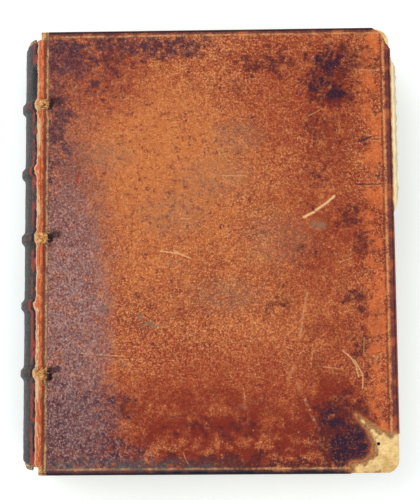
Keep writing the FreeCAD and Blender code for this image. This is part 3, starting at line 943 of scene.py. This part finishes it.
def spine_profile(half, rise, z):
    """How far a spine arc stands out from the shoulders at height z."""
    radius = arc_radius(half, rise)
    return np.sqrt(np.maximum(radius ** 2 - (z - MIDDLE_Z) ** 2, 0)) - (radius - rise)


def spine_skin():
    """The spine's leather: an arched sheet drawn over five cords, ragged at both ends."""
    rows, columns = 340, 96
    length = BLOCK_HALF
    v, a = np.meshgrid(np.linspace(-1, 1, rows), np.linspace(-1, 1, columns), indexing="ij")
    radius = arc_radius(MIDDLE_Z, SPINE_RISE + LEATHER)
    a = a.ravel()
    angle = a * math.asin(MIDDLE_Z / radius)
    y = v.ravel() * length
    flat = np.stack([y, angle * radius], axis=1)
    height = np.zeros(len(flat))
    fade = np.cos(np.clip(np.abs(a), 0, 1) * math.pi / 2) ** 0.5
    for number, band in enumerate(BANDS):
        away = np.abs(y - band + 0.3 * noise(flat, 30, 70 + number))
        height += BAND_HEIGHT * fade / (1 + (away / 3.1) ** 6)
    height += 0.10 * noise(flat, 16, 71) + 0.06 * noise(flat, 5, 72)
    height *= np.clip(fade * 3, 0, 1)
    height -= 0.7 * np.clip((np.abs(y) - length + 2.2) / 2.2, 0, 1) ** 2
    reach = radius + height
    x = SHOULDER_X - (SPINE_RISE + LEATHER) + radius - reach * np.cos(angle)
    x = np.minimum(x, SHOULDER_X - 0.02)
    z = np.clip(MIDDLE_Z + reach * np.sin(angle), 0.02, TOP_Z - 0.08)
    # The worn ends: shorter over the back, ragged
    end_wear = 2.6 * np.cos(angle * 1.4) ** 2 + 0.5 * noise(flat[:, 1:], 9, 73)
    scale = 1 - np.clip(end_wear, 0, None) / length * np.clip((np.abs(y) / length - 0.9) / 0.1, 0, 1)
    verts = np.stack([x, y * scale, z], axis=1)
    faces = grid_faces(rows, columns, flip=True)
    # A wall along every edge gives the sheet its thickness
    inward = np.stack([np.cos(angle), np.zeros(len(verts)), -np.sin(angle)], axis=1)
    edges = open_edges(faces)
    border = sorted({i for edge in edges for i in edge})
    index = {i: len(verts) + k for k, i in enumerate(border)}
    walls = [(end, start, index[start], index[end]) for start, end in edges]
    verts = np.vstack([verts, verts[border] + inward[border] * LEATHER * 0.9])
    piece = make_piece("spine_calf", verts, faces + walls, "book_block", MATERIALS["spine"])
    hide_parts("spine_leather")


def leaves():
    """The leaves, with their edges a little uneven from one gathering to the next."""
    rows, columns, side = 120, 70, 80
    z = np.linspace(LEAVES_LOW, LEAVES_HIGH, rows)
    share = (z - MIDDLE_Z) / (LEAVES_HIGH - MIDDLE_Z)
    uneven = np.random.default_rng(80).normal(0, 0.10, rows) + noise(z[:, None], 3.0, 81) * 0.22
    rights = LEAF_FORE_X - LEAF_HOLLOW * (1 - share ** 2) + uneven - 0.25
    lefts = SHOULDER_X - spine_profile(MIDDLE_Z - LEATHER, SPINE_RISE, z)
    end = BLOCK_HALF - 0.25
    ys = np.linspace(-end, end, side)[1:-1]
    points = []
    for k, (left, right) in enumerate(zip(lefts, rights)):
        xs = np.linspace(left, right, columns)
        head = end + uneven[(k * 7) % rows] * 0.9
        tail = -end - uneven[(k * 11 + 3) % rows] * 0.9
        points += [(x, tail, z[k]) for x in xs]
        points += [(right, y, z[k]) for y in ys]
        points += [(x, head, z[k]) for x in xs[::-1]]
        points += [(left, y, z[k]) for y in ys[::-1]]
    points = np.array(points)
    count = len(points) // rows
    wave = noise(points[:, :2], 70, 82) * 0.12
    points[:, 2] += wave * (1 - np.abs((points[:, 2] - MIDDLE_Z) / (LEAVES_HIGH - MIDDLE_Z)) ** 8)
    faces = ring_faces(rows, count)
    faces.append(tuple(range(count - 1, -1, -1)))
    faces.append(tuple((rows - 1) * count + i for i in range(count)))
    piece = make_piece("leaves", points, faces, "book_block", MATERIALS["leaves"], smooth=False)
    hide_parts("text_block")


# Fibres and thin sheets

def tube(path, radius, sides=5):
    """Vertices and faces of a round strand along a path, open at its ends."""
    path = np.asarray(path, float)
    along = np.gradient(path, axis=0)
    along /= np.linalg.norm(along, axis=1)[:, None]
    side = np.cross(along, (0.0, 0.3, 1.0))
    side /= np.linalg.norm(side, axis=1)[:, None]
    up = np.cross(side, along)
    angles = np.linspace(0, 2 * math.pi, sides, endpoint=False)
    rings = [p + radius * (np.cos(a) * s + np.sin(a) * u) for p, s, u in zip(path, side, up) for a in angles]
    return rings, ring_faces(len(path), sides)


def gather(parts):
    """Joins several sets of vertices and faces."""
    verts, faces = [], []
    for part_verts, part_faces in parts:
        start = len(verts)
        verts.extend(part_verts)
        faces.extend(tuple(i + start for i in f) for f in part_faces)
    return verts, faces


def loose_fibre(rng, y0):
    """A short bent fibre that stands out of a frayed cord at height y0 of the cover."""
    start = np.array([rng.uniform(-1.8, 4.6), rng.normal(-0.4, 1.4), rng.uniform(-0.6, 0.4)])
    start += (JOINT_X, y0, TOP_Z)
    heading = rng.normal(0, 1.0, 2) + np.array([0.0, np.sign(start[1] - y0) * 0.7])
    heading /= max(np.linalg.norm(heading), 0.3)
    reach = rng.uniform(0.8, 3.4)
    share = np.linspace(0, 1, 5)
    bend = rng.normal(0, 0.5)
    path = np.stack([
        start[0] + reach * (heading[0] * share - bend * heading[1] * share ** 2),
        start[1] + reach * (heading[1] * share + bend * heading[0] * share ** 2),
        np.minimum(start[2] + 0.5 * np.sin(share * math.pi) * rng.uniform(0.2, 1.2), TOP_Z + 1.0),
    ], axis=1)
    path[:, 0] = np.maximum(path[:, 0], JOINT_X - 2.6)
    return tube(path, rng.uniform(0.12, 0.26), 4)


def joint_cord(number):
    """A sewing cord where it crosses the front joint: twisted plies, frayed where they are bare."""
    rng = np.random.default_rng(100 + number)
    bare = number in BARE_BANDS
    y0 = BANDS[number - 1]
    lift = 0.0 if bare else -1.7
    line = np.array([(-3.4, -2.5), (-2.0, -1.2), (-0.4, -0.2), (2.0, 0.3), (4.4, 0.1), (6.6, -1.6)])
    t = np.linspace(0, 1, 14)
    knots = np.linspace(0, 1, len(line))
    x = JOINT_X + np.interp(t, knots, line[:, 0])
    z = TOP_Z + lift + np.interp(t, knots, line[:, 1])
    parts = []
    plies = 9 if bare else 7
    for k in range(plies):
        turn = 2 * math.pi * (k / plies + 0.7 * t) + rng.uniform(-0.3, 0.3)
        wide = (rng.uniform(1.1, 2.3) if bare else 1.8) * (0.75 + 0.35 * np.sin(t * math.pi))
        wobble = rng.normal(0, 0.28 if bare else 0.15, len(t))
        last = rng.integers(8, 13) if bare else len(t)
        path = np.stack([x, y0 + wide * np.cos(turn) + wobble, z + 0.55 * np.sin(turn)], axis=1)[:last]
        parts.append(tube(path, rng.uniform(0.26, 0.5) if bare else 0.34))
    if bare:
        parts += [loose_fibre(rng, y0) for _ in range(64)]
    verts, faces = gather(parts)
    piece = make_piece(f"joint_cord_{number}", verts, faces, None, MATERIALS["cord"])
    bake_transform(piece)


def hinge_paper(name, low_node, high_node):
    """The fold of an endpaper at a joint, between its free leaf and its pasted half."""
    low = span(low_node)[1][2] + 0.02
    high = span(high_node)[0][2] - 0.02
    near, far = JOINT_X + 0.35, JOINT_X + 6.0
    length = span(low_node)[1][1] - 0.5
    wall = np.linspace(low, high, 12)
    profile = [(far, low), (near + 1.0, low)] + [(near, z) for z in wall] + [(near + 1.0, high), (far, high)]
    y = np.linspace(-length, length, 60)
    verts = [(x + 0.1 * math.sin(v * 0.11), v, z) for v in y for x, z in profile]
    piece = make_piece(name, verts, grid_faces(len(y), len(profile)), None, MATERIALS["endpaper"])
    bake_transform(piece)


def back_joint_leather():
    """The sound leather of the back joint, from the spine on to the back cover."""
    heights = np.array([2.2, 1.4, 0.7, 0.25])
    arc = SHOULDER_X - spine_profile(MIDDLE_Z, SPINE_RISE + LEATHER, heights) - 0.04
    profile = list(zip(arc, heights)) + [(SHOULDER_X, 0.05)] + [(JOINT_X + x, 0.02) for x in (0, 0.5, 3)]
    y = np.linspace(-BLOCK_HALF + 3, BLOCK_HALF - 3, 90)
    verts = [(x, v, z) for v in y for x, z in profile]
    faces = grid_faces(len(y), len(profile), flip=True)
    piece = make_piece("back_joint_calf", verts, faces, None, MATERIALS["spine"])
    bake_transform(piece)


def fanned_layers():
    """Sheets of the front board that fan out past the worn leather of the fore-edge."""
    parts = []
    y = np.linspace(FRAY_BOTTOM - 5, FRAY_TOP + 3, 170)
    fade = np.clip((y - FRAY_BOTTOM + 5) / 9, 0, 1) * np.clip((FRAY_TOP + 3 - y) / 7, 0, 1)
    for k, depth in enumerate((0.15, 0.6, 1.1, 1.7, 2.4, 3.0)):
        ragged = cloud_noise(y[:, None], 18, 400 + k) * 0.5 + noise(y[:, None], 2.2, 430 + k) * 0.22
        reach = np.clip((2.3 + 0.28 * k + ragged) * fade - 0.5, -1.5, 3.8)
        wave = 0.12 * noise(y[:, None], 15, 460 + k)
        rows = []
        # From inside the board out to the edge on the sheet's upper side, and back on its lower side
        for offset, height in ((-3.0, 0), (-0.5, 0), (0.5, 0), (1.0, 0), (1.0, -0.28), (-3.0, -0.28)):
            share = max(offset, 0)
            x = FORE_X + (offset if offset <= 0 else reach * share)
            z = BOARD_TOP - depth + wave * (offset > 0) - 0.35 * share * (k - 1) * 0.3 + height
            rows.append(np.stack([np.broadcast_to(x, y.shape), y, z], axis=1))
        verts = np.stack(rows, axis=1).reshape(-1, 3)
        parts.append((verts.tolist(), grid_faces(len(y), len(rows), flip=True)))
    verts, faces = gather(parts)
    make_piece("board_layers", verts, faces, "front_cover", MATERIALS["pasteboard"])


def corner_paper():
    """The bare pasteboard of the lost corner, split and wrinkled, with layers torn off it."""
    step = 0.5
    xs = np.arange(FORE_X - 36, FORE_X - 0.2, step)
    ys = np.arange(TAIL_Y + 0.6, TAIL_Y + 40, step)
    gx, gy = np.meshgrid(xs, ys)
    points = np.stack([gx.ravel(), gy.ravel()], axis=1)
    away, _ = polygon_distance(points, LOST_CORNER)
    edge = cover_edge_x(points[:, 1], WORN_RADIUS) - 0.5
    terrace = cloud_noise(points, 17, 500)
    relief = 0.10 + 0.22 / (1 + np.exp(-(terrace - 0.1) * 14)) + 0.18 / (1 + np.exp(-(terrace + 0.7) * 14))
    relief += 0.12 * noise(points, 4.2, 510) + 0.06 * noise(points, 1.6, 511)
    hole = np.linalg.norm(points - (97.5, -130), axis=1)
    hole = np.minimum(hole, np.linalg.norm(points - (105, -121.9), axis=1) + 0.4)
    relief -= 0.6 * (hole < 1.5)
    rim = np.clip((edge - points[:, 0]) / 1.2, 0, 1) * np.clip((points[:, 1] - TAIL_Y - 0.6) / 1.2, 0, 1)
    verts = np.column_stack([np.minimum(points[:, 0], edge), points[:, 1], BOARD_TOP + relief * rim])
    keep = (away < 1.6) & (points[:, 0] < edge + step)
    faces = [f for f in grid_faces(len(ys), len(xs)) if all(keep[i] for i in f)]
    piece = make_piece("corner_paper", verts, faces, "front_cover", MATERIALS["pasteboard"])
    # A browner layer still clings along the inner side of the loss
    clinging = np.clip((away + 3.4 + 1.6 * cloud_noise(points, 9, 520)) / 0.8, 0, 1)
    inner_side = np.clip((FORE_X - 9 - points[:, 0] + 0.35 * (points[:, 1] - TAIL_Y)) / 4, 0, 1)
    store(piece, "under_layer", clinging * inner_side)


front_leather()
back_leather()
spine_skin()
leaves()
fanned_layers()
corner_paper()
for number in range(1, len(BANDS) + 1):
    joint_cord(number)
hinge_paper("front_hinge_paper", "front_free_endpaper", "front_pastedown")
hinge_paper("back_hinge_paper", "back_pastedown", "back_free_endpaper")
back_joint_leather()


# Stage, light and camera

def backdrop():
    """Pale floor under the book."""
    side = 6000
    corners = [(-side, -side, 0), (side, -side, 0), (side, side, 0), (-side, side, 0)]
    mesh = bpy.data.meshes.new("backdrop")
    mesh.from_pydata([tuple(c * MM for c in corner) for corner in corners], [], [(0, 1, 2, 3)])
    mesh.materials.append(floor_material())
    floor = bpy.data.objects.new("backdrop", mesh)
    bpy.context.scene.collection.objects.link(floor)


def soft_light(name, place, aim, size, power):
    """A square soft light at a place, aimed at a point, in metres and watts."""
    lamp = bpy.data.lights.new(name, "AREA")
    lamp.shape = "SQUARE"
    lamp.size = size
    lamp.energy = power
    holder = bpy.data.objects.new(name, lamp)
    bpy.context.scene.collection.objects.link(holder)
    holder.location = place
    holder.rotation_euler = (Vector(place) - Vector(aim)).to_track_quat("Z", "Y").to_euler()


def studio():
    """Soft light from above and the upper left, with an even surround."""
    world = bpy.data.worlds.new("surround")
    world.use_nodes = True
    world.node_tree.nodes["Background"].inputs["Color"].default_value = (0.95, 0.98, 1.0, 1.0)
    world.node_tree.nodes["Background"].inputs["Strength"].default_value = 0.5
    bpy.context.scene.world = world
    soft_light("key", (-0.9, 0.7, 1.5), (0, 0, 0), 1.5, 20)
    soft_light("fill", (0.9, -0.8, 1.6), (0, 0, 0), 1.8, 15)


def camera():
    """Camera above the front cover, leaning a little from the tail."""
    lens = bpy.data.cameras.new("camera")
    lens.sensor_width = SENSOR_WIDTH
    lens.sensor_fit = "HORIZONTAL"
    lens.lens = FOCAL_LENGTH
    eye = bpy.data.objects.new("camera", lens)
    bpy.context.scene.collection.objects.link(eye)
    turn = Euler([math.radians(a) for a in CAMERA_TURNS], "ZYX").to_matrix().to_4x4()
    eye.matrix_world = Matrix.Translation(CAMERA_PLACE) @ turn
    bpy.context.scene.camera = eye


backdrop()
studio()
camera()
bpy.context.scene.view_settings.view_transform = "Standard"
